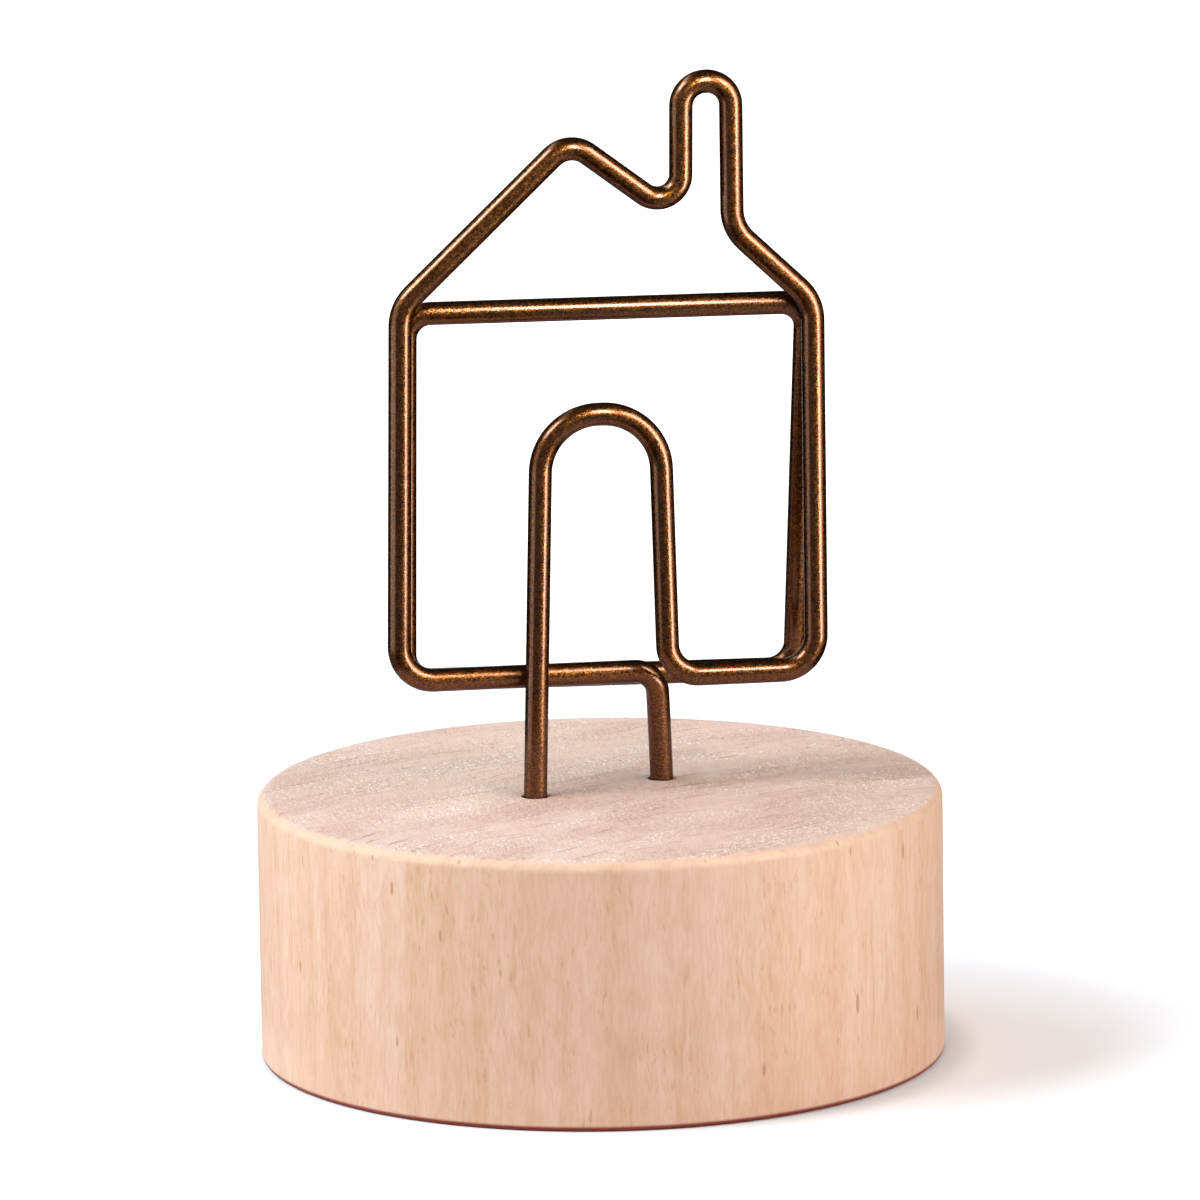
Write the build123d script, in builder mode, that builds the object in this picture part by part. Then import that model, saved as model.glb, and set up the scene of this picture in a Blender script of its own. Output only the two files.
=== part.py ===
# Photo holder: a turned wooden block that carries a house of bent wire. A plain four-sided loop of the
# same wire is brazed on behind the house, and a photograph is held between the two.
# The origin is the middle of the block's underside, X runs along the house and Y to its back.
import os
from math import atan, cos

from build123d import *

# Wooden block
block_diameter = 50.0
block_height = 19.6
top_edge_round = 0.6
bottom_edge_round = 0.35

# Wire and the room around it
wire_diameter = 1.7
passing_gap = 0.1          # where the slanting run passes behind the front leg
card_gap = 0.2             # between the house and the rear loop, where the photograph goes
hole_play = 0.15           # all round the wire in its hole
hole_depth = 9.0
mouth_rise = 0.4           # the legs start to lean this far above the block
glue_drop = 0.8            # the glue ends this far below the block's top

# Places of the two holes, from the middle of the block
front_hole_left = 5.0
front_hole_forward = 2.1
rear_hole_right = 4.9
rear_hole_back = 2.1

# House: distances to the left or right of the block's middle, heights above the block
door_top_left = 4.16
door_top_right = 4.48
door_foot_right = 4.88
door_height = 28.0
sill_height = 8.52
right_wall_reach = 15.77
right_eave_height = 35.7
chimney_right = 9.95
chimney_foot_height = 41.24
chimney_height = 52.0
chimney_width = 3.6
valley_right = 6.2
valley_height = 41.94
ridge_left = 1.84
ridge_height = 48.06
left_eave_reach = 14.26
left_eave_height = 36.31
left_wall_reach = 14.77
left_sill_height = 8.82
left_sill_back = 0.45      # the left wall leans back by this much at its foot
rear_leg_top_left = 0.45   # the rear leg's top stands this far to the left of its hole
rear_leg_top_height = 8.29

# Rear loop: how far it stands inside the house, heights above the block
rear_right_foot_inset = 0.6
rear_right_top_inset = 0.2
rear_left_top_inset = 0.58
rear_left_foot_inset = 0.65
rear_right_sill_height = 7.3
rear_right_top_height = 35.32
rear_left_top_height = 35.53
rear_left_sill_height = 8.48

# Braze between the house's slanting run and the loop's lower run, where the loop's two ends meet
braze_width = 1.1
braze_length = 3.0
braze_left = 1.6           # from the rear leg's top to the braze's right end
loop_end_gap = 0.15

# Bends, measured on the middle line of the wire
leg_bend = 30.0
door_foot_bend = 2.3
wall_foot_bend = 2.6
roof_bend = 3.2
valley_bend = 1.7
ridge_bend = 2.0
rear_leg_bend = 1.9
rear_foot_bend = 2.0
rear_top_bend = 1.85
arch_bend_share = 0.495    # of the width that an arch spans, so that it is nearly a half circle

# Depths of the wire's stretches
front_y = -front_hole_forward
side_step = wire_diameter + passing_gap
card_step = wire_diameter + card_gap

# The run along the left sill slants back, so that it passes close behind the front leg
front_leg_lean = (front_hole_left - door_top_left) * sill_height / door_height
front_leg_at_sill = front_hole_left - front_leg_lean
run_slope = (side_step - left_sill_back) / (left_wall_reach - front_leg_at_sill)
row_step = card_step / cos(atan(run_slope))


def run_y(x, row=0):
    """Depth of the house's slanting run at a place along it; the loop's lower run is row 1, behind."""
    return front_y + left_sill_back + run_slope * (x + left_wall_reach) + row * row_step


rear_left_foot_x = rear_left_foot_inset - left_wall_reach
rear_right_foot_x = right_wall_reach - rear_right_foot_inset
rear_leg_top_x = rear_hole_right - rear_leg_top_left
rear_top_y = front_y + card_step
arch_bend = (door_top_left + door_top_right) * arch_bend_share
chimney_bend = chimney_width * arch_bend_share

# The house's corners in order: left or right, depth, height above the block, bend radius
house_start = (-front_hole_left, front_y, -hole_depth)
house_corners = [
    (-front_hole_left, front_y, mouth_rise, leg_bend),
    (-door_top_left, front_y, door_height, arch_bend),
    (door_top_right, front_y, door_height, arch_bend),
    (door_foot_right, front_y, sill_height, door_foot_bend),
    (right_wall_reach, front_y, sill_height, wall_foot_bend),
    (right_wall_reach, front_y, right_eave_height, roof_bend),
    (chimney_right, front_y, chimney_foot_height, roof_bend),
    (chimney_right, front_y, chimney_height, chimney_bend),
    (chimney_right - chimney_width, front_y, chimney_height, chimney_bend),
    (valley_right, front_y, valley_height, valley_bend),
    (-ridge_left, front_y, ridge_height, ridge_bend),
    (-left_eave_reach, front_y, left_eave_height, roof_bend),
    (-left_wall_reach, run_y(-left_wall_reach), left_sill_height, wall_foot_bend),
    (rear_leg_top_x, run_y(rear_leg_top_x), rear_leg_top_height, rear_leg_bend),
    (rear_hole_right, rear_hole_back, mouth_rise, leg_bend),
]
house_end = (rear_hole_right, rear_hole_back, -hole_depth)

# The loop's four corners, in the same form
loop_corners = [
    (rear_right_foot_x, run_y(rear_right_foot_x, 1), rear_right_sill_height, rear_foot_bend),
    (right_wall_reach - rear_right_top_inset, rear_top_y, rear_right_top_height, rear_top_bend),
    (rear_left_top_inset - left_eave_reach, rear_top_y, rear_left_top_height, rear_top_bend),
    (rear_left_foot_x, run_y(rear_left_foot_x, 1), rear_left_sill_height, rear_foot_bend),
]


def between(first, last, x):
    """Height at a place along the straight run between two corners."""
    return first[2] + (last[2] - first[2]) * (x - first[0]) / (last[0] - first[0])


# The braze lies midway between the two runs, and the loop's ends meet at its middle
house_foot, house_leg_top = house_corners[-3:-1]
loop_right_foot, loop_left_foot = loop_corners[0], loop_corners[-1]
braze_right_x = rear_leg_top_x - braze_left
braze_ends = [
    Vector(
        x,
        (run_y(x) + run_y(x, 1)) / 2,
        (between(house_foot, house_leg_top, x) + between(loop_left_foot, loop_right_foot, x)) / 2,
    )
    for x in (braze_right_x - braze_length, braze_right_x)
]
loop_start, loop_end = [
    (x, run_y(x, 1), between(loop_left_foot, loop_right_foot, x))
    for x in (
        braze_right_x - (braze_length - loop_end_gap) / 2,
        braze_right_x - (braze_length + loop_end_gap) / 2,
    )
]

block_top = Plane.XY.offset(block_height)
hole_floor = Plane.XY.offset(block_height - hole_depth)
hole_radius = wire_diameter / 2 + hole_play
front_hole = (-front_hole_left, front_y)
rear_hole = (rear_hole_right, rear_hole_back)

os.makedirs("parts", exist_ok=True)

# Turned block with its two blind holes
with BuildPart() as base_block:
    with BuildSketch(Plane.XY):
        Circle(block_diameter / 2)
    extrude(amount=block_height)
    fillet(base_block.edges().sort_by(Axis.Z)[-1], radius=top_edge_round)
    fillet(base_block.edges().sort_by(Axis.Z)[0], radius=bottom_edge_round)
    with BuildSketch(block_top):
        with Locations(front_hole, rear_hole):
            Circle(hole_radius)
    extrude(amount=-hole_depth, mode=Mode.SUBTRACT)

# House of one length of wire, from the front hole round the door, the walls and the roof to the rear hole
with BuildPart() as house_wire:
    with BuildLine(block_top) as house_route:
        route_points = [house_start] + [corner[:3] for corner in house_corners] + [house_end]
        FilletPolyline(*route_points, radius=[corner[3] for corner in house_corners])
    with BuildSketch(hole_floor):
        with Locations(front_hole):
            Circle(wire_diameter / 2)
    sweep(path=house_route.wires()[0])

# Loop of the same wire, whose ends meet behind the house's slanting run
with BuildPart() as clip_loop:
    with BuildLine(block_top) as loop_route:
        route_points = [loop_start] + [corner[:3] for corner in loop_corners] + [loop_end]
        FilletPolyline(*route_points, radius=[corner[3] for corner in loop_corners])
    loop_path = loop_route.wires()[0]
    with BuildSketch(Plane(origin=loop_path @ 0, z_dir=loop_path % 0)):
        Circle(wire_diameter / 2)
    sweep(path=loop_path)

# Braze that fills the crevice between the two wires and holds the loop
with BuildPart() as loop_braze:
    braze_run = braze_ends[1] - braze_ends[0]
    with BuildSketch(Plane(origin=block_top.from_local_coords(braze_ends[0]), z_dir=braze_run)):
        Circle(braze_width / 2)
    extrude(amount=braze_run.length)
    add(house_wire.part, mode=Mode.SUBTRACT)
    add(clip_loop.part, mode=Mode.SUBTRACT)


def glue_sleeve(hole):
    """Cured glue that fills the play round one leg, from the floor of its hole upwards."""
    with BuildPart() as sleeve:
        with BuildSketch(hole_floor):
            with Locations(hole):
                Circle(hole_radius)
                Circle(wire_diameter / 2, mode=Mode.SUBTRACT)
        extrude(amount=hole_depth - glue_drop)
    return sleeve


front_leg_glue = glue_sleeve(front_hole)
rear_leg_glue = glue_sleeve(rear_hole)

base_block.part.label = "base_block"
house_wire.part.label = "house_wire"
clip_loop.part.label = "clip_loop"
loop_braze.part.label = "loop_braze"
front_leg_glue.part.label = "front_leg_glue"
rear_leg_glue.part.label = "rear_leg_glue"

export_step(base_block.part, "parts/base_block.step")
export_step(house_wire.part, "parts/house_wire.step")
export_step(clip_loop.part, "parts/clip_loop.step")
export_step(loop_braze.part, "parts/loop_braze.step")
export_step(front_leg_glue.part, "parts/front_leg_glue.step")
export_step(rear_leg_glue.part, "parts/rear_leg_glue.step")

wire_section = Face(Wire(Edge.make_circle(wire_diameter / 2))).area
for name, route, wire in (("house", house_route, house_wire), ("loop", loop_route, clip_loop)):
    route_length = route.wires()[0].length
    print(name, "wire length", round(route_length, 2))
    print("volume over section times length", round(wire.part.volume / (wire_section * route_length), 5))
print("slope of the slanting run", round(run_slope, 4), "step to the loop", round(row_step, 3))
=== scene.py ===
from math import acos, cos, hypot, pi, radians, sin, tan

import bmesh
import bpy
from mathutils import Matrix, Vector


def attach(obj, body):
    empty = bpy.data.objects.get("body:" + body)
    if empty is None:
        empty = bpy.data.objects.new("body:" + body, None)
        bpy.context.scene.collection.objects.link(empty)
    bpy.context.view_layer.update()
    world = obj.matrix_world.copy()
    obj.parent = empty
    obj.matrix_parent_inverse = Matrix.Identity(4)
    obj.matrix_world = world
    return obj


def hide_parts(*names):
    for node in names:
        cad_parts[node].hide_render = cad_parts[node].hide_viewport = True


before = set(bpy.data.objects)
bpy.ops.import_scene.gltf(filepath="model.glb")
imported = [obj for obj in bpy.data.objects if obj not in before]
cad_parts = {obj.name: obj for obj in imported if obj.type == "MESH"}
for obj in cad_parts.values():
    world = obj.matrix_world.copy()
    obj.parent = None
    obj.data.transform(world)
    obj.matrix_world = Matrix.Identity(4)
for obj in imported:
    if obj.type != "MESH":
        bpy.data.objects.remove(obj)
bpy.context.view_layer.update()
print("frame loaded:", sorted(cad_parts))

# a photo holder: a turned wooden block that carries a house of bent wire and a wire loop behind it
millimetre = 0.001
sharpTurn = radians(40)                 # an edge that turns by more than this stays crisp
meanColour = (0.5, 0.5, 0.5)            # of a noise's or a cell's random colours
white = (1.0, 1.0, 1.0, 1)


# small helpers for node trees; a socket is given a plain value or another node's output
def addNode(tree, kind, sockets=None, **settings):
    node = tree.nodes.new(kind)
    for name, value in settings.items():
        setattr(node, name, value)
    for name, value in (sockets or {}).items():
        if isinstance(value, bpy.types.NodeSocket):
            tree.links.new(value, node.inputs[name])
        else:
            node.inputs[name].default_value = value
    return node


def calculate(tree, operation, first, second=0.0):
    return addNode(tree, "ShaderNodeMath", {0: first, 1: second}, operation=operation).outputs[0]


def calculateVector(tree, operation, *vectors):
    return addNode(tree, "ShaderNodeVectorMath", dict(enumerate(vectors)), operation=operation).outputs[0]


def measureVector(tree, vector):
    return addNode(tree, "ShaderNodeVectorMath", {0: vector}, operation="LENGTH").outputs["Value"]


def remap(tree, value, low, high, newLow=0.0, newHigh=1.0):
    sockets = {"Value": value, "From Min": low, "From Max": high, "To Min": newLow, "To Max": newHigh}
    return addNode(tree, "ShaderNodeMapRange", sockets, interpolation_type="SMOOTHSTEP").outputs[0]


def blendValues(tree, amount, first, second):
    return addNode(tree, "ShaderNodeMix", {0: amount, 2: first, 3: second}).outputs[0]


def blendColours(tree, amount, first, second):
    return addNode(tree, "ShaderNodeMix", {0: amount, 6: first, 7: second}, data_type="RGBA").outputs[2]


def stain(tree, colour, mask, strength, stainColour):
    return blendColours(tree, calculate(tree, "MULTIPLY", mask, strength), colour, stainColour)


def addNoise(tree, vector, perMetre, detail):
    sockets = {"Vector": vector, "Scale": perMetre, "Detail": detail}
    return addNode(tree, "ShaderNodeTexNoise", sockets).outputs


# a mask of soft clouds, from the noise level where they start to the one where they are full
def addClouds(tree, vector, stretch, perMetre, detail, start, full):
    stretched = calculateVector(tree, "MULTIPLY", vector, stretch)
    return remap(tree, addNoise(tree, stretched, perMetre, detail)[0], start, full)


# pushes a place or a normal aside by a random colour, at most by half the reach each way
def sway(tree, vector, colour, reach):
    aside = calculateVector(tree, "SUBTRACT", colour, meanColour)
    return calculateVector(tree, "MULTIPLY_ADD", aside, reach, vector)


def addCells(tree, vector, perMetre):
    cells = addNode(tree, "ShaderNodeTexVoronoi", {"Vector": vector, "Scale": perMetre}).outputs
    chance = addNode(tree, "ShaderNodeSeparateColor", {0: cells["Color"]}).outputs["Red"]
    return cells, chance


def startMaterial(name):
    material = bpy.data.materials.new(name)
    material.use_nodes = True
    material.node_tree.nodes.clear()
    return material, material.node_tree


def finishMaterial(tree, kind, sockets):
    shader = addNode(tree, kind, sockets).outputs[0]
    addNode(tree, "ShaderNodeOutputMaterial", {"Surface": shader})


# fine unevenness that every finish here has: soft patches, grit and a normal that the grit bumps
fineGrain = {
    "sizes": {"Patch Size": 1 * millimetre, "Grit Size": 0.2 * millimetre, "Depth": 0.01 * millimetre},
    "patchDetail": 3,
    "gritDetail": 2,
    "start": 0.3,
    "full": 0.7,
}


def makeGrainGroup():
    group = bpy.data.node_groups.new("fineGrain", "ShaderNodeTree")
    sockets = group.interface
    sockets.new_socket(name="Vector", in_out="INPUT", socket_type="NodeSocketVector")
    for name, size in fineGrain["sizes"].items():
        sockets.new_socket(name=name, in_out="INPUT", socket_type="NodeSocketFloat").default_value = size
    sockets.new_socket(name="Patches", in_out="OUTPUT", socket_type="NodeSocketFloat")
    sockets.new_socket(name="Grit", in_out="OUTPUT", socket_type="NodeSocketFloat")
    sockets.new_socket(name="Normal", in_out="OUTPUT", socket_type="NodeSocketVector")
    given = group.nodes.new("NodeGroupInput").outputs
    patchScale = calculate(group, "DIVIDE", 1.0, given["Patch Size"])
    gritScale = calculate(group, "DIVIDE", 1.0, given["Grit Size"])
    patches = addNoise(group, given["Vector"], patchScale, fineGrain["patchDetail"])[0]
    grit = addNoise(group, given["Vector"], gritScale, fineGrain["gritDetail"])[0]
    bump = addNode(group, "ShaderNodeBump", {"Height": grit, "Distance": given["Depth"], "Strength": 1.0})
    addNode(group, "NodeGroupOutput", {
        "Patches": remap(group, patches, fineGrain["start"], fineGrain["full"]),
        "Grit": remap(group, grit, fineGrain["start"], fineGrain["full"]),
        "Normal": bump.outputs[0],
    })
    return group


grainGroup = makeGrainGroup()


def addGrain(tree, place, finish):
    grain = addNode(tree, "ShaderNodeGroup", {
        "Vector": place, "Patch Size": finish["patchSize"], "Grit Size": finish["gritSize"],
        "Depth": finish["gritDepth"]}, node_tree=grainGroup).outputs
    roughness = remap(tree, grain["Grit"], 0.0, 1.0, finish["smoothest"], finish["roughest"])
    return grain, roughness


# small helpers for meshes
def split(geometry):
    points = [item for item in geometry if isinstance(item, bmesh.types.BMVert)]
    edges = [item for item in geometry if isinstance(item, bmesh.types.BMEdge)]
    return points, edges


def makeObject(name, mesh, material):
    data = bpy.data.meshes.new(name)
    mesh.to_mesh(data)
    mesh.free()
    data.materials.append(material)
    made = bpy.data.objects.new(name, data)
    bpy.context.scene.collection.objects.link(made)
    return made


def makePiece(name, mesh, material, node):
    bmesh.ops.recalc_face_normals(mesh, faces=mesh.faces)
    piece = makeObject(name, mesh, material)
    piece.data.shade_smooth()
    piece.data.set_sharp_from_angle(angle=sharpTurn)
    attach(piece, "root")
    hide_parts(node)


# the turned block
block = {
    "diameter": 50 * millimetre,
    "height": 19.6 * millimetre,
    "topRound": 0.85 * millimetre,
    "bottomRound": 0.35 * millimetre,
    "roundSteps": 6,
    "around": 288,
    "flatRing": 0.3 * millimetre,       # keeps the top's shading flat next to the rounded edge
    "holeWidth": 2.0 * millimetre,
    "holeDepth": 9 * millimetre,
    "holeSteps": 40,
    "mouthWear": 0.08 * millimetre,     # the hole's edge is broken by this much
    "frontHole": Vector((-5.0, -2.1, 0)) * millimetre,      # places from the block's middle
    "rearHole": Vector((4.9, 2.1, 0)) * millimetre,
}


def liftLoop(mesh, edges, middle, growth, rise):
    points, edges = split(bmesh.ops.extrude_edge_only(mesh, edges=edges)["geom"])
    bmesh.ops.scale(mesh, vec=(growth, growth, 1), space=Matrix.Translation(-middle), verts=points)
    bmesh.ops.translate(mesh, vec=(0, 0, rise), verts=points)
    return edges


def turnBlock(material):
    mesh = bmesh.new()
    bmesh.ops.create_circle(mesh, cap_ends=True, segments=block["around"], radius=block["diameter"] / 2)
    raised = bmesh.ops.extrude_face_region(mesh, geom=mesh.faces[:])["geom"]
    bmesh.ops.translate(mesh, vec=(0, 0, block["height"]), verts=split(raised)[0])
    halfway = block["height"] / 2
    for size, above in ((block["topRound"], True), (block["bottomRound"], False)):
        rimWearAndSheen = [edge for edge in mesh.edges if all((point.co.z > halfway) == above for point in edge.verts)]
        bmesh.ops.bevel(mesh, geom=rimWearAndSheen, offset=size, affect="EDGES", segments=block["roundSteps"],
                        profile=0.5, material=-1)
    topFace = max(mesh.faces, key=lambda face: face.calc_center_median().z)
    bmesh.ops.inset_individual(mesh, faces=[topFace], thickness=block["flatRing"])
    openEdges = topFace.edges[:]
    bmesh.ops.delete(mesh, geom=[topFace], context="FACES_ONLY")
    mouths = []
    for hole in (block["frontHole"], block["rearHole"]):
        middle = hole + Vector((0, 0, block["height"]))
        ring = bmesh.ops.create_circle(mesh, segments=block["holeSteps"],
                                       radius=block["holeWidth"] / 2 + block["mouthWear"],
                                       matrix=Matrix.Translation(middle))["verts"]
        edges = list(dict.fromkeys(edge for point in ring for edge in point.link_edges))
        mouths.append((middle, edges))
        openEdges += edges
    bmesh.ops.triangle_fill(mesh, use_beauty=True, edges=openEdges)
    innerGrowth = block["holeWidth"] / (block["holeWidth"] + 2 * block["mouthWear"])
    for middle, edges in mouths:
        collar = liftLoop(mesh, edges, middle, innerGrowth, -block["mouthWear"])
        bottom = liftLoop(mesh, collar, middle, 1.0, block["mouthWear"] - block["holeDepth"])
        bmesh.ops.edgeloop_fill(mesh, edges=bottom)
    makePiece("turned_block", mesh, material, "base_block")


# bent wire, in millimetres: to the left or right of the block's middle, depth, height above the block
wire = {
    "thickness": 1.7,
    "cardGap": 0.2,                     # between the house and the loop, where the photograph goes
    "sides": 40,
    "bendStep": radians(5),             # from one ring of points to the next in a bend
    "leastSteps": 2,
}
house = {
    "front": -2.1,                      # depth of the outline
    "runStart": (-14.77, -1.65),        # left or right and depth of the lower run below the left wall
    "runSlope": 0.13466,                # it slants back, so that it passes behind the front leg
    "mouthRise": 0.4,                   # the legs start to lean this far above the block
    "legBend": 30.0,
    "outline": [
        # left or right, height, bend radius
        (-4.16, 28.0, 4.277),           # door arch
        (4.48, 28.0, 4.277),
        (4.88, 8.52, 2.3),              # door foot
        (15.77, 8.52, 2.6),             # right wall
        (15.77, 35.7, 3.2),             # right eave
        (9.95, 41.24, 3.2),             # chimney
        (9.95, 52.0, 1.782),
        (6.35, 52.0, 1.782),
        (6.2, 41.94, 1.7),              # valley
        (-1.84, 48.06, 2.0),            # ridge
        (-14.26, 36.31, 3.2),           # left eave
    ],
    "run": [
        (-14.77, 8.82, 2.6),            # foot of the left wall
        (4.45, 8.29, 1.9),              # top of the rear leg
    ],
}
loop = {
    # left or right and height, the right side first
    "feet": [(15.17, 7.3), (-14.12, 8.48)],
    "tops": [(15.57, 35.32), (-13.68, 35.53)],
    "footBend": 2.0,
    "topBend": 1.85,
    "ends": [1.425, 1.275],             # they nearly meet, hidden behind the house's lower run
}


def onBlock(reach, depth, height):
    return Vector((reach, depth, height)) * millimetre + Vector((0, 0, block["height"]))


def runDepth(reach):
    startReach, startDepth = house["runStart"]
    return startDepth + house["runSlope"] * (reach - startReach)


def bendWire(name, start, corners, end, material, node):
    mesh = bmesh.new()
    targets = [corner for corner, bend in corners] + [end]
    here = start
    heading = (targets[0] - here).normalized()
    facing = Matrix.Translation(here) @ heading.to_track_quat("Z", "Y").to_matrix().to_4x4()
    bmesh.ops.create_circle(mesh, cap_ends=True, segments=wire["sides"],
                            radius=wire["thickness"] * millimetre / 2, matrix=facing)
    edges = mesh.edges[:]
    for (corner, bend), target in zip(corners, targets[1:]):
        leaving = (target - corner).normalized()
        turn = acos(max(-1.0, min(1.0, heading.dot(leaving))))
        radius = bend * millimetre
        bendStart = corner - heading * radius * tan(turn / 2)
        points, edges = split(bmesh.ops.extrude_edge_only(mesh, edges=edges)["geom"])
        bmesh.ops.translate(mesh, vec=bendStart - here, verts=points)
        axis = heading.cross(leaving).normalized()
        middle = bendStart + axis.cross(heading) * radius
        steps = max(wire["leastSteps"], round(turn / wire["bendStep"]))
        bent = bmesh.ops.spin(mesh, geom=points + edges, cent=middle, axis=axis, dvec=(0, 0, 0),
                              angle=turn, steps=steps)["geom_last"]
        points, edges = split(bent)
        here = corner + leaving * radius * tan(turn / 2)
        heading = leaving
    points, edges = split(bmesh.ops.extrude_edge_only(mesh, edges=edges)["geom"])
    bmesh.ops.translate(mesh, vec=end - here, verts=points)
    bmesh.ops.edgeloop_fill(mesh, edges=edges)
    makePiece(name, mesh, material, node)


# one wire from hole to hole: door, right wall, chimney, roof, left wall and the run to the rear leg
def bendHouse(material):
    bottom = Vector((0, 0, block["height"] - block["holeDepth"]))
    mouth = Vector((0, 0, block["height"] + house["mouthRise"] * millimetre))
    corners = [(block["frontHole"] + mouth, house["legBend"])]
    corners += [(onBlock(reach, house["front"], height), bend) for reach, height, bend in house["outline"]]
    corners += [(onBlock(reach, runDepth(reach), height), bend) for reach, height, bend in house["run"]]
    corners.append((block["rearHole"] + mouth, house["legBend"]))
    bendWire("bent_house", block["frontHole"] + bottom, corners, block["rearHole"] + bottom, material,
             "house_wire")


# the loop's foot lies a card's gap behind the house's run, and its top a card's gap behind the walls
def bendLoop(material):
    step = wire["thickness"] + wire["cardGap"]
    runStep = step * hypot(1.0, house["runSlope"])
    rightFoot, leftFoot = [onBlock(reach, runDepth(reach) + runStep, height)
                           for reach, height in loop["feet"]]
    rightTop, leftTop = [onBlock(reach, house["front"] + step, height) for reach, height in loop["tops"]]
    corners = [(rightFoot, loop["footBend"]), (rightTop, loop["topBend"]),
               (leftTop, loop["topBend"]), (leftFoot, loop["footBend"])]
    start, end = [rightFoot.lerp(leftFoot, (rightFoot.x - reach * millimetre) / (rightFoot.x - leftFoot.x))
                  for reach in loop["ends"]]
    bendWire("bent_loop", start, corners, end, material, "clip_loop")


# cured glue round each leg, drawn up a little along the wire and the wood
glue = {
    "drop": 0.8 * millimetre,           # it ends this far below the block's top
    "hollow": 0.09 * millimetre,
    "hollowSteps": 4,
    "around": 40,
    "weld": 0.001 * millimetre,
    "deep": (0.55, 0.36, 0.16, 1),
    "clear": (0.72, 0.52, 0.28, 1),
    "patchSize": 0.8 * millimetre,
    "gritSize": 0.3 * millimetre,
    "gritDepth": 0.01 * millimetre,
    "smoothest": 0.18,
    "roughest": 0.3,
    "coat": 0.3,
}


def pourGlue(name, hole, node, material):
    mesh = bmesh.new()
    inner = wire["thickness"] * millimetre / 2
    outer = block["holeWidth"] / 2
    floorHeight = block["height"] - block["holeDepth"]
    rimHeight = block["height"] - glue["drop"]
    outline = [(inner, floorHeight), (outer, floorHeight)]
    for step in range(glue["hollowSteps"] + 1):
        share = step / glue["hollowSteps"]
        outline.append((outer + (inner - outer) * share, rimHeight - glue["hollow"] * sin(pi * share)))
    points = [mesh.verts.new(hole + Vector((reach, 0, height))) for reach, height in outline]
    edges = [mesh.edges.new((point, points[index - 1])) for index, point in enumerate(points)]
    bmesh.ops.spin(mesh, geom=points + edges, cent=hole, axis=(0, 0, 1), dvec=(0, 0, 0),
                   angle=2 * pi, steps=glue["around"], use_merge=True)
    bmesh.ops.remove_doubles(mesh, verts=mesh.verts, dist=glue["weld"])
    makePiece(name, mesh, material, node)


def makeGlue():
    material, tree = startMaterial("cured_glue")
    place = tree.nodes.new("ShaderNodeTexCoord").outputs["Object"]
    grain, roughness = addGrain(tree, place, glue)
    finishMaterial(tree, "ShaderNodeBsdfPrincipled", {
        "Base Color": blendColours(tree, grain["Patches"], glue["deep"], glue["clear"]),
        "Roughness": roughness,
        "Normal": grain["Normal"],
        "Coat Weight": glue["coat"],
    })
    return material


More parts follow.
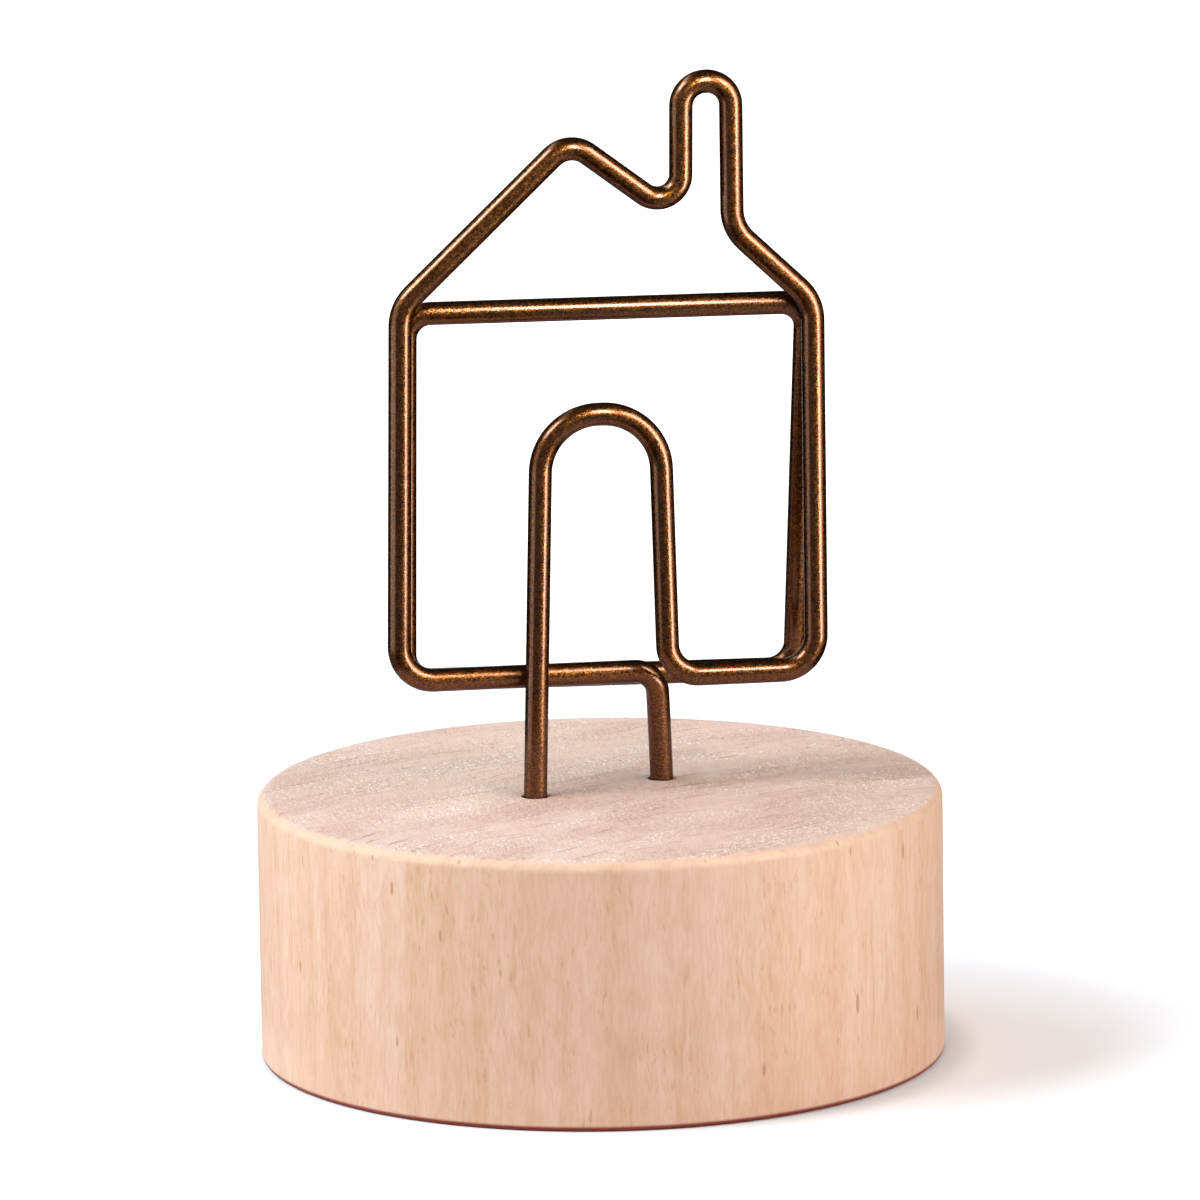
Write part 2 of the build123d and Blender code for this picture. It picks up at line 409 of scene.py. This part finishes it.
# pale hardwood: the fibres run up through the block, so its flat top shows end grain
wood = {
    "pithAway": 105 * millimetre,       # the tree's heart lies outside the block
    "pithDirection": radians(-63),      # from the X axis, seen from above
    "ringSpacing": 2.6 * millimetre,
    "lateStart": 0.35,                  # a ring darkens from this share of its width to the next one
    "lateFull": 0.95,
    # stretch along each axis, waves per metre, detail, reach
    "ringWaver": ((1, 1, 0.25), 110, 4, 4 * millimetre),
    "fibreWaver": ((1, 1, 0.5), 420, 2, 1.1 * millimetre),
    "clouds": {
        # what they follow, stretch along each axis, clouds per metre, detail, levels of start and full
        "bands": ("block", (1, 1, 0.08), 250, 3, 0.36, 0.64),
        "broadFibre": ("fibre", (1, 1, 0.12), 1100, 3, 0.30, 0.70),
        "fineFibre": ("fibre", (1, 1, 0.16), 3600, 2, 0.38, 0.62),
        "dashes": ("fibre", (1, 1, 0.22), 4300, 1, 0.58, 0.74),
        "dashPatches": ("block", (1, 1, 0.5), 420, 2, 0.35, 0.62),
        "longLines": ("fibre", (1, 1, 0.03), 1700, 1, 0.66, 0.76),
        "mottle": ("block", (1, 1, 0.5), 900, 3, 0.32, 0.68),
        "brokenLines": ("rings", (0.09, 1, 1), 2500, 3, 0.58, 0.70),
        "thinLines": ("rings", (0.06, 1, 1), 2200, 2, 0.62, 0.68),
        "rays": ("rings", (1, 0.05, 1), 2300, 1, 0.70, 0.80),
        "grit": ("block", (1, 0.3, 0.3), 5400, 1, 0.34, 0.66),
        "coarseGrit": ("block", (0.7, 0.3, 0.3), 2600, 2, 0.35, 0.70),
        "blotches": ("rings", (0.4, 1, 1), 210, 2, 0.34, 0.66),
        "paleDots": ("block", (1, 0.4, 0.3), 6400, 1, 0.55, 0.70),
        "palePatches": ("rings", (0.3, 1, 1), 260, 2, 0.38, 0.62),
    },
    "overlaps": {
        # a mask that shows only where both of these do
        "dashRows": ("dashes", "dashPatches"),
        "lateBands": ("lateWood", "bands"),
        "gritBlotches": ("grit", "blotches"),
        "paleSpecks": ("paleDots", "palePatches"),
    },
    "mixes": {
        # how much each mask adds
        "fibre": {"broadFibre": 0.35, "fineFibre": 0.65},
        "sideTone": {"lateWood": 0.10, "ringTone": 0.08, "bands": 0.26, "fibre": 0.28, "mottle": 0.16,
                     "longLines": 0.30, "dashRows": 0.40},
        "endTone": {"lateBands": 0.10, "brokenLines": 0.28, "gritBlotches": 0.34, "coarseGrit": 0.14,
                    "blotches": 0.10, "rays": 0.25},
    },
    "side": (0.785, 0.515, 0.380, 1),
    "sideDark": (0.605, 0.310, 0.174, 1),
    "end": (0.765, 0.520, 0.420, 1),
    "endDark": (0.450, 0.235, 0.155, 1),
    "endStart": 0.72,                   # how far upward a surface faces where end grain starts and is full
    "endFull": 0.98,
    "line": (0.310, 0.105, 0.050, 1),
    "lineStrength": 0.42,
    "pale": (0.940, 0.810, 0.730, 1),
    "paleStrength": 0.8,
    # a warmer band on the rounded top edge: partly burnished wear, partly a painted highlight where the lamps
    # catch it
    "rimWearAndSheen": (0.805, 0.510, 0.335, 1),
    "rimStart": 0.05,                   # how far upward the band of worn edge and painted highlight faces, from side to top
    "rimFull": 0.4,
    "rimFade": 0.85,
    "rimEnd": 0.99,
    "rimLeast": 0.15,
    "rimMost": 0.75,
    "fleck": (0.440, 0.190, 0.080, 1),
    "fleckStretch": (1, 1, 0.24),       # longer up the trunk than across
    "flecksPerMetre": 700,
    "fleckChance": 0.2,                 # cells below this share stay empty
    "fleckSize": 0.15,                  # share of a cell
    "fleckEdge": 0.05,
    "fleckStrength": 0.7,
    # painted contact shadow: a dark warm line along the bottom edge, where the block meets the floor
    "foot": (0.240, 0.026, 0.008, 1),
    "footHeight": 0.48 * millimetre,
    "fibreRelief": 0.6,
    "gritRelief": 0.8,
    "relief": 0.025 * millimetre,
    "patchSize": 3 * millimetre,
    "gritSize": 0.22 * millimetre,
    "gritDepth": 0.015 * millimetre,
    "smoothest": 0.52,
    "roughest": 0.66,
    "gloss": 0.35,                      # specular level
}


def waver(tree, place, stretch, perMetre, detail, reach):
    stretched = calculateVector(tree, "MULTIPLY", place, stretch)
    return sway(tree, place, addNoise(tree, stretched, perMetre, detail)["Color"], (reach, reach, 0.0))


def addUp(tree, masks, weights):
    total = 0.0
    for name, weight in weights.items():
        total = calculate(tree, "ADD", total, calculate(tree, "MULTIPLY", masks[name], weight))
    return total


# growth rings round the heart: a place unrolled along and across them, their late wood and each one's tone
def drawRings(tree, place):
    pith = Vector((cos(wood["pithDirection"]), sin(wood["pithDirection"]), 0)) * wood["pithAway"]
    fromPith = calculateVector(tree, "SUBTRACT", waver(tree, place, *wood["ringWaver"]), pith)
    flat = calculateVector(tree, "MULTIPLY", fromPith, (1, 1, 0))
    distance = measureVector(tree, flat)
    flatParts = addNode(tree, "ShaderNodeSeparateXYZ", {0: flat}).outputs
    bearing = calculate(tree, "ARCTAN2", flatParts["Y"], flatParts["X"])
    along = calculate(tree, "MULTIPLY", bearing, wood["pithAway"])
    unrolled = addNode(tree, "ShaderNodeCombineXYZ", {"X": along, "Y": distance}).outputs[0]
    count = calculate(tree, "DIVIDE", distance, wood["ringSpacing"])
    share = calculate(tree, "FRACT", count)
    darkening = remap(tree, share, wood["lateStart"], wood["lateFull"])
    lateWood = calculate(tree, "MULTIPLY", darkening, remap(tree, share, 1.0, wood["lateFull"]))
    ringTone = addNode(tree, "ShaderNodeTexWhiteNoise", {
        "W": calculate(tree, "FLOOR", count)}, noise_dimensions="1D").outputs["Value"]
    return unrolled, lateWood, ringTone


# short brown flecks where a vessel is cut
def drawFlecks(tree, place):
    stretched = calculateVector(tree, "MULTIPLY", place, wood["fleckStretch"])
    cells, chance = addCells(tree, stretched, wood["flecksPerMetre"])
    size = remap(tree, chance, wood["fleckChance"], 1.0, 0.0, wood["fleckSize"])
    return remap(tree, calculate(tree, "SUBTRACT", size, cells["Distance"]), 0.0, wood["fleckEdge"])


def makeWood():
    material, tree = startMaterial("turned_wood")
    coordinates = tree.nodes.new("ShaderNodeTexCoord").outputs
    place = coordinates["Object"]
    upward = addNode(tree, "ShaderNodeSeparateXYZ", {0: coordinates["Normal"]}).outputs["Z"]
    unrolled, lateWood, ringTone = drawRings(tree, place)
    courses = {"block": place, "fibre": waver(tree, place, *wood["fibreWaver"]), "rings": unrolled}
    masks = {"lateWood": lateWood, "ringTone": ringTone, "flecks": drawFlecks(tree, place)}
    for name, (course, *shape) in wood["clouds"].items():
        masks[name] = addClouds(tree, courses[course], *shape)
    for name, (first, second) in wood["overlaps"].items():
        masks[name] = calculate(tree, "MULTIPLY", masks[first], masks[second])
    for name, weights in wood["mixes"].items():
        masks[name] = addUp(tree, masks, weights)

    sideColour = blendColours(tree, masks["sideTone"], wood["side"], wood["sideDark"])
    endColour = blendColours(tree, masks["endTone"], wood["end"], wood["endDark"])
    endColour = stain(tree, endColour, masks["thinLines"], wood["lineStrength"], wood["line"])
    endColour = stain(tree, endColour, masks["paleSpecks"], wood["paleStrength"], wood["pale"])
    onEnd = remap(tree, calculate(tree, "ABSOLUTE", upward), wood["endStart"], wood["endFull"])
    colour = blendColours(tree, onEnd, sideColour, endColour)

    # the rounded top edge gets a warmer band: partly burnished wear, partly a painted highlight
    aboveSide = remap(tree, upward, wood["rimStart"], wood["rimFull"])
    onRim = calculate(tree, "MULTIPLY", aboveSide, remap(tree, upward, wood["rimEnd"], wood["rimFade"]))
    wearAndSheen = remap(tree, masks["mottle"], 0.0, 1.0, wood["rimLeast"], wood["rimMost"])
    colour = stain(tree, colour, onRim, wearAndSheen, wood["rimWearAndSheen"])
    colour = stain(tree, colour, masks["flecks"], wood["fleckStrength"], wood["fleck"])
    # painted contact shadow: the colour goes dark warm below a small height at the bottom edge
    height = addNode(tree, "ShaderNodeSeparateXYZ", {0: place}).outputs["Z"]
    colour = blendColours(tree, remap(tree, height, wood["footHeight"], wood["footHeight"] / 2), colour,
                          wood["foot"])

    grain, roughness = addGrain(tree, place, wood)
    raisedFibre = calculate(tree, "MULTIPLY", masks["fibre"], wood["fibreRelief"])
    raisedGrit = calculate(tree, "MULTIPLY", masks["grit"], wood["gritRelief"])
    relief = blendValues(tree, onEnd, calculate(tree, "SUBTRACT", raisedFibre, masks["flecks"]),
                         calculate(tree, "SUBTRACT", raisedGrit, masks["brokenLines"]))
    bump = addNode(tree, "ShaderNodeBump", {
        "Height": relief, "Distance": wood["relief"], "Strength": 1.0, "Normal": grain["Normal"]})
    finishMaterial(tree, "ShaderNodeBsdfPrincipled", {
        "Base Color": colour,
        "Roughness": roughness,
        "Normal": bump.outputs[0],
        "Specular IOR Level": wood["gloss"],
    })
    return material


# antique bronze lacquer: dark brown with fine golden flakes, each tilted its own way
bronze = {
    "dark": (0.058, 0.0125, 0.0009, 1),
    "warm": (0.092, 0.021, 0.0020, 1),
    "gold": (0.285, 0.112, 0.0180, 1),
    "flakeSize": 0.065 * millimetre,
    "flakeChance": 0.25,                # places below this share hold no flake
    "flakeStrength": 0.60,
    "tilt": 0.16,
    "patchSize": 1.2 * millimetre,
    "gritSize": 0.25 * millimetre,
    "gritDepth": 0.0014 * millimetre,
    "smoothest": 0.25,
    "roughest": 0.38,
    "edgeTint": (0.05, 0.02, 0.01, 1),  # the metal's colour at a glancing view
    "coat": 0.72,
    "coatRoughness": 0.15,
}


def makeBronze():
    material, tree = startMaterial("bronze_lacquer")
    place = tree.nodes.new("ShaderNodeTexCoord").outputs["Object"]
    grain, roughness = addGrain(tree, place, bronze)
    cells, chance = addCells(tree, place, 1 / bronze["flakeSize"])
    flakes = remap(tree, chance, bronze["flakeChance"], 1.0)
    colour = blendColours(tree, grain["Patches"], bronze["dark"], bronze["warm"])
    tilted = sway(tree, grain["Normal"], cells["Color"], (bronze["tilt"],) * 3)
    finishMaterial(tree, "ShaderNodeBsdfPrincipled", {
        "Base Color": stain(tree, colour, flakes, bronze["flakeStrength"], bronze["gold"]),
        "Metallic": 1.0,
        "Roughness": roughness,
        "Normal": calculateVector(tree, "NORMALIZE", tilted),
        "Specular Tint": bronze["edgeTint"],
        "Coat Weight": bronze["coat"],
        "Coat Roughness": bronze["coatRoughness"],
    })
    return material


turnBlock(makeWood())
print("block turned")
bronzeMaterial = makeBronze()
bendHouse(bronzeMaterial)
bendLoop(bronzeMaterial)
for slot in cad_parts["loop_braze"].material_slots:
    slot.material = bronzeMaterial
print("wires bent")
glueMaterial = makeGlue()
pourGlue("front_glue_ring", block["frontHole"], "front_leg_glue", glueMaterial)
pourGlue("rear_glue_ring", block["rearHole"], "rear_leg_glue", glueMaterial)
print("glue poured")

# floor, surroundings and lamps, in metres and degrees; turns go from the front towards the right
cardReach = 0.12
floorOuter = (cardReach, 0.001)
floorInner = (0.028, 0.001)
studio = {
    "floorRadius": 4.0,
    "floorSides": 96,
    "floorColour": (0.80, 0.79, 0.79, 1),
    # the floor glows to camera and gloss: a little round the block, where its shadow falls, as a painted
    # pinkish bounce from the wood, and fully far out
    "nearGlow": 0.25,
    "nearStart": 0.0252,
    "nearEnd": 0.0285,
    "farGlow": 0.65,
    "farStart": 0.06,
    "farEnd": 0.25,
    # painted bounce light: the warm tint that the wood throws on the floor next to it
    "paintedBounceColour": (1.0, 0.87, 0.85, 1),
    "colourFade": 4.0,                  # the painted bounce colour is gone where the far glow reaches a quarter
    "ambient": 0.3,
    "wallTop": 12,
    "ceilingStart": 26,
    "ceiling": 0.05,                    # how bright the dark ceiling looks next to the white walls
    "lampAim": 1.2,                     # a share of the block's height
    "lamps": [
        # name, turn, height angle, distance, width, brightness, colour
        ("leftKey", -76, 44, 0.50, 0.19, 14.8, (0.95, 1.08, 1.16)),
        ("leftBackLamp", -115, 40, 0.60, 0.50, 3.2, (0.86, 1.07, 1.22)),
        ("rightLamp", 37, 35, 0.50, 0.14, 8.8, (1.03, 0.98, 0.93)),
        ("rightSoftLamp", 72, 20, 0.60, 0.35, 4.2, (0.97, 1.02, 1.06)),
    ],
    "cardSteps": 48,
    "cards": [
        # name, turns from and to, reach and height of one edge and of the other, brightness
        ("rightDark", 74, 168, (cardReach, 0.0), (cardReach, 0.20), 0.01),
        ("leftDark", -172, -100, (cardReach, 0.0), (cardReach, 0.20), 0.01),
        ("frontDim", -56, 40, (cardReach, 0.0), (cardReach, 0.10), 0.19),
        ("floorDim", -56, 8, floorOuter, floorInner, 0.01),
        ("rightFloor", 8, 60, floorOuter, floorInner, 0.60),
        ("rearFloorDim", 60, 180, floorOuter, floorInner, 0.01),
        ("leftFloorDim", -180, -56, floorOuter, floorInner, 0.22),
        ("rightStrip", 42, 60, (cardReach, 0.0), (cardReach, 0.17), 16.0),
        ("leftStrip", -82, -68, (cardReach, 0.0), (cardReach, 0.08), 1.6),
        ("frontStrip", 5, 17, (cardReach, 0.100), (cardReach, 0.176), 33.0),
        ("cornerStrip", 31, 45, (cardReach, 0.106), (cardReach, 0.168), 16.0),
    ],
}


# what the camera, gloss and glass see, against what lights the object
def seenRays(tree):
    light = tree.nodes.new("ShaderNodeLightPath").outputs
    seen = calculate(tree, "MAXIMUM", light["Is Camera Ray"], light["Is Glossy Ray"])
    return calculate(tree, "MAXIMUM", seen, light["Is Transmission Ray"])


def layFloor():
    mesh = bmesh.new()
    bmesh.ops.create_circle(mesh, cap_ends=True, segments=studio["floorSides"], radius=studio["floorRadius"])
    material, tree = startMaterial("floor_white")
    reach = measureVector(tree, tree.nodes.new("ShaderNodeTexCoord").outputs["Object"])
    near = remap(tree, reach, studio["nearStart"], studio["nearEnd"], 0.0, studio["nearGlow"])
    far = remap(tree, reach, studio["farStart"], studio["farEnd"], 0.0, studio["farGlow"])
    glow = calculate(tree, "MULTIPLY", seenRays(tree), calculate(tree, "ADD", near, far))
    finishMaterial(tree, "ShaderNodeBsdfPrincipled", {
        "Base Color": studio["floorColour"],
        "Roughness": 1.0,
        "Specular IOR Level": 0.0,
        # the glow has the painted bounce colour next to the block and is white further out
        "Emission Color": stain(tree, studio["paintedBounceColour"], far, studio["colourFade"], white),
        "Emission Strength": glow,
    })
    makeObject("floor", mesh, material)


def lightWorld():
    world = bpy.data.worlds.new("studio")
    world.use_nodes = True
    tree = world.node_tree
    tree.nodes.clear()
    direction = tree.nodes.new("ShaderNodeTexCoord").outputs["Generated"]
    upward = addNode(tree, "ShaderNodeSeparateXYZ", {0: direction}).outputs["Z"]
    wallTop = sin(radians(studio["wallTop"]))
    ceilingStart = sin(radians(studio["ceilingStart"]))
    walls = remap(tree, upward, wallTop, ceilingStart, 1.0, studio["ceiling"])
    strength = remap(tree, seenRays(tree), 0.0, 1.0, studio["ambient"], walls)
    background = addNode(tree, "ShaderNodeBackground", {"Color": white, "Strength": strength})
    addNode(tree, "ShaderNodeOutputWorld", {"Surface": background.outputs[0]})
    bpy.context.scene.world = world


# curved cards round the object and on the floor, which only gloss sees: painted reflections, dark ones and
# bright strips that give the metal its highlights, lighting nothing
def standCards():
    for name, startTurn, endTurn, oneEdge, otherEdge, brightness in studio["cards"]:
        mesh = bmesh.new()
        ends = [mesh.verts.new((0, -reach, height)) for reach, height in (oneEdge, otherEdge)]
        edge = mesh.edges.new(ends)
        bmesh.ops.rotate(mesh, cent=(0, 0, 0), matrix=Matrix.Rotation(radians(startTurn), 3, "Z"), verts=ends)
        bmesh.ops.spin(mesh, geom=ends + [edge], cent=(0, 0, 0), axis=(0, 0, 1), dvec=(0, 0, 0),
                       angle=radians(endTurn - startTurn), steps=studio["cardSteps"])
        material, tree = startMaterial(name)
        finishMaterial(tree, "ShaderNodeEmission", {"Strength": brightness})
        card = makeObject(name, mesh, material)
        card.visible_camera = False
        card.visible_diffuse = False
        card.visible_shadow = False


def hangLamps():
    aim = Vector((0, 0, studio["lampAim"] * block["height"]))
    for name, turn, height, distance, width, brightness, colour in studio["lamps"]:
        turn, height = radians(turn), radians(height)
        lamp = bpy.data.lights.new(name, "AREA")
        lamp.shape = "SQUARE"
        lamp.size = width
        lamp.energy = pi * width ** 2 * brightness
        lamp.color = colour
        direction = Vector((sin(turn) * cos(height), -cos(turn) * cos(height), sin(height)))
        holder = bpy.data.objects.new(name, lamp)
        holder.location = aim + direction * distance
        holder.rotation_euler = direction.to_track_quat("Z", "Y").to_euler()
        bpy.context.scene.collection.objects.link(holder)


layFloor()
lightWorld()
standCards()
hangLamps()
bpy.context.scene.view_settings.view_transform = "Standard"
print("studio lit")

# the camera stands where the photograph was taken, in metres, degrees and millimetres of lens
view = {
    "place": (-0.10367, -0.73766, 0.18334),
    "turn": 8.0174,
    "tilt": 11.374,
    "roll": -0.8429,
    "lens": 313.66,
    "sensor": 36,
}
lens = bpy.data.cameras.new("camera")
lens.lens = view["lens"]
lens.sensor_width = view["sensor"]
cameraHolder = bpy.data.objects.new("camera", lens)
cameraHolder.matrix_world = (
    Matrix.Translation(view["place"])
    @ Matrix.Rotation(-radians(view["turn"]), 4, "Z")
    @ Matrix.Rotation(radians(90 - view["tilt"]), 4, "X")
    @ Matrix.Rotation(radians(view["roll"]), 4, "Z")
)
bpy.context.scene.collection.objects.link(cameraHolder)
bpy.context.scene.camera = cameraHolder
print("camera set")
